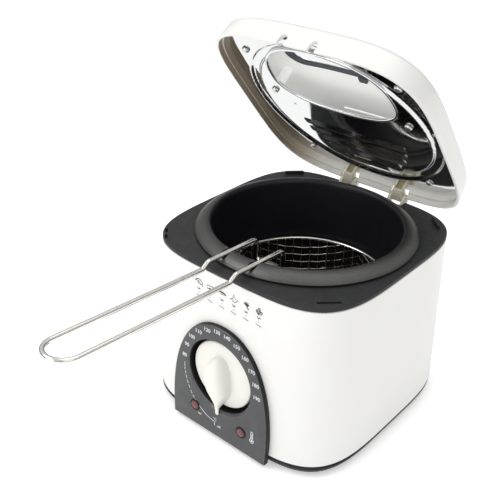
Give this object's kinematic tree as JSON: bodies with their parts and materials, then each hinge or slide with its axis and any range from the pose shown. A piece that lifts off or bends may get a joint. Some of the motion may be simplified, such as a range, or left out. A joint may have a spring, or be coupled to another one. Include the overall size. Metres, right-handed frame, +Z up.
{
  "type": "deep fryer",
  "caption": "Compact electric deep fryer: white square-round housing with a dial panel, round pot, wire basket on a folding handle and an open hinged lid with window.",
  "frame": {"origin": "on the table under the middle of the whole piece's bounding box, handle and open lid included", "axes": "+Z up; the panel with the knob faces -Y; the handle points to -Y and the lid is hinged at the +Y side; +X is the right-hand side seen from the front"},
  "size_m": [0.2082, 0.3845, 0.3321],
  "materials": {
    "white_shell": "smooth glossy white",
    "dark_plastic": "fine satin dark grey",
    "knob_plastic": "satin off-white",
    "nonstick": "dark non-stick coating",
    "basket_wire": "bright plated wire",
    "mirror_plate": "mirror polished sheet",
    "fixing_steel": "bright zinc",
    "inner_metal": "plain mill finish",
    "rubber": "matt black",
    "lens": "translucent red",
    "window": "clear",
    "hinge_plastic": "satin cream",
    "insulator": "plain moulded",
    "filter": "open foam pad"
  },
  "bodies": {
    "fryer": {"housing_shell": "white_shell", "base_plate": "dark_plastic", "foot_1": "rubber", "foot_2": "rubber", "foot_3": "rubber", "foot_4": "rubber", "base_screw_1": "fixing_steel", "base_screw_2": "fixing_steel", "base_screw_3": "fixing_steel", "base_screw_4": "fixing_steel", "top_deck": "dark_plastic", "inner_pot": "nonstick", "heating_element": "inner_metal", "heat_shield": "inner_metal", "thermal_fuse": "insulator", "terminal_block": "insulator", "thermostat_body": "inner_metal", "cord_gland": "rubber", "control_panel": "dark_plastic", "power_lamp_lens": "lens", "ready_lamp_lens": "lens", "power_lamp_body": "insulator", "ready_lamp_body": "insulator", "hinge_bracket_left": "hinge_plastic", "hinge_bracket_right": "hinge_plastic", "hinge_pin_left": "fixing_steel", "hinge_pin_right": "fixing_steel"},
    "knob": {"temperature_knob": "knob_plastic", "knob_shaft": "fixing_steel"},
    "basket": {"basket_mesh": "basket_wire", "basket_rim_ring": "basket_wire", "basket_bracket": "basket_wire", "handle_sleeve": "basket_wire"},
    "handle": {"basket_handle": "basket_wire"},
    "hinge_arms": {"hinge_arm_left": "hinge_plastic", "hinge_arm_right": "hinge_plastic"},
    "lid": {"lid_shell": "white_shell", "lid_window": "window", "window_gasket": "rubber", "lid_inner_plate": "mirror_plate", "vapour_filter": "filter", "lid_screw_1": "fixing_steel", "lid_screw_2": "fixing_steel", "lid_screw_3": "fixing_steel", "lid_screw_4": "fixing_steel", "lid_screw_5": "fixing_steel", "lid_screw_6": "fixing_steel"}
  },
  "joints": [
    {"name": "lid_hinge", "type": "hinge", "parent": "fryer", "child": "hinge_arms", "pos_m": [0, 0.1803, 0.1635], "axis": [-1, 0, 0], "range_deg": [-50, 35]},
    {"name": "lid_lift_off", "type": "slide", "parent": "hinge_arms", "child": "lid", "axis": [0, 0.766, 0.6428], "range_m": [0, 0.012]},
    {"name": "knob_turn", "type": "hinge", "parent": "fryer", "child": "knob", "pos_m": [0, -0.02951, 0.0666], "axis": [0, 1, 0], "range_deg": [0, 268]},
    {"name": "basket_lift", "type": "slide", "parent": "fryer", "child": "basket", "axis": [0, 0, 1], "range_m": [0, 0.075]},
    {"name": "handle_fold", "type": "hinge", "parent": "basket", "child": "handle", "pos_m": [0, 0.0268, 0.147], "axis": [-1, 0, 0], "range_deg": [0, 75]}
  ]
}
